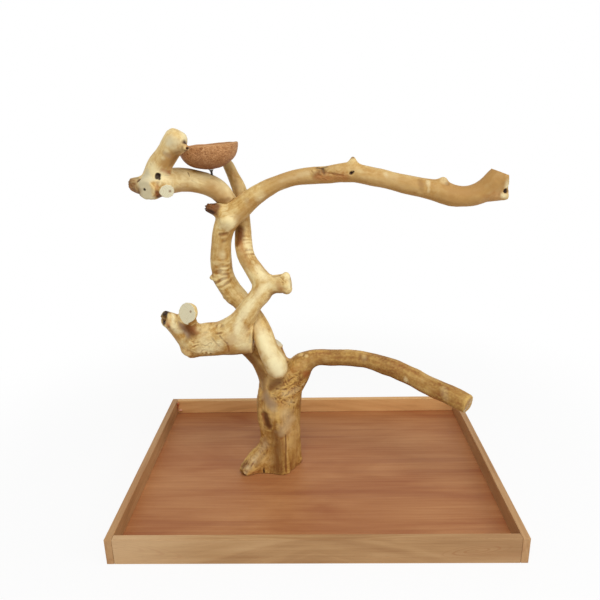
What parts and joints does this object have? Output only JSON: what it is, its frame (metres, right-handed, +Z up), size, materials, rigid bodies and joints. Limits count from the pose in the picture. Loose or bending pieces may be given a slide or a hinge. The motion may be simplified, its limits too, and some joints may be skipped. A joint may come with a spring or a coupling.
{
  "type": "tabletop parrot play stand",
  "caption": "Tabletop parrot play stand: natural branches screwed together as perches on a raised-rim wooden tray, with a coconut shell bowl that turns on its bolt.",
  "frame": {"origin": "middle of the tray's footprint, on the surface it stands on", "axes": "+X to the right along the tray's long side, -Y towards the person in front of it, +Z up"},
  "size_m": [0.711, 0.508, 0.7064],
  "materials": {
    "panel_wood": "reddish brown close-grained board, thin clear oil",
    "rim_wood": "light tan planed board with cathedral grain, thin clear oil",
    "trunk_wood": "sandblasted golden stump wood, wrinkled, dry",
    "main_limb_wood": "sandblasted pale golden branch wood, smooth and dry",
    "y_limb_wood": "sandblasted mottled golden branch wood with a knotty burl",
    "top_perch_wood": "sandblasted honey branch wood with pale sawn ends",
    "coconut_shell": "scraped coconut shell, brown and finely speckled with fibre",
    "bright_steel": "zinc-plated steel",
    "dark_steel": "blackened steel"
  },
  "bodies": {
    "stand": {"base_panel": "panel_wood", "rim_front": "rim_wood", "rim_back": "rim_wood", "rim_left": "rim_wood", "rim_right": "rim_wood", "rim_screw_1": "bright_steel", "rim_screw_2": "bright_steel", "rim_screw_3": "bright_steel", "rim_screw_4": "bright_steel", "rim_screw_5": "bright_steel", "rim_screw_6": "bright_steel", "rim_screw_7": "bright_steel", "rim_screw_8": "bright_steel", "trunk": "trunk_wood", "main_limb": "main_limb_wood", "y_limb": "y_limb_wood", "top_left_perch": "top_perch_wood", "trunk_bolt_1": "bright_steel", "trunk_bolt_2": "bright_steel", "trunk_bolt_3": "bright_steel", "trunk_washer_1": "bright_steel", "trunk_washer_2": "bright_steel", "trunk_washer_3": "bright_steel", "foot_screw_1": "dark_steel", "foot_screw_2": "dark_steel", "arm_screw_1": "dark_steel", "arm_screw_2": "dark_steel", "crossing_screw": "dark_steel", "fork_screw": "dark_steel", "perch_screw": "dark_steel", "bowl_bolt": "dark_steel", "bowl_lower_nut": "dark_steel", "bowl_lower_washer": "bright_steel", "bowl_upper_washer": "bright_steel", "bowl_cap_nut": "bright_steel"},
    "bowl": {"coconut_bowl": "coconut_shell"}
  },
  "joints": [
    {"name": "bowl_turn", "type": "hinge", "parent": "stand", "child": "bowl", "pos_m": [-0.179, 0.016, 0.6327], "axis": [-0.0732, 0, 0.9973], "continuous": true}
  ]
}
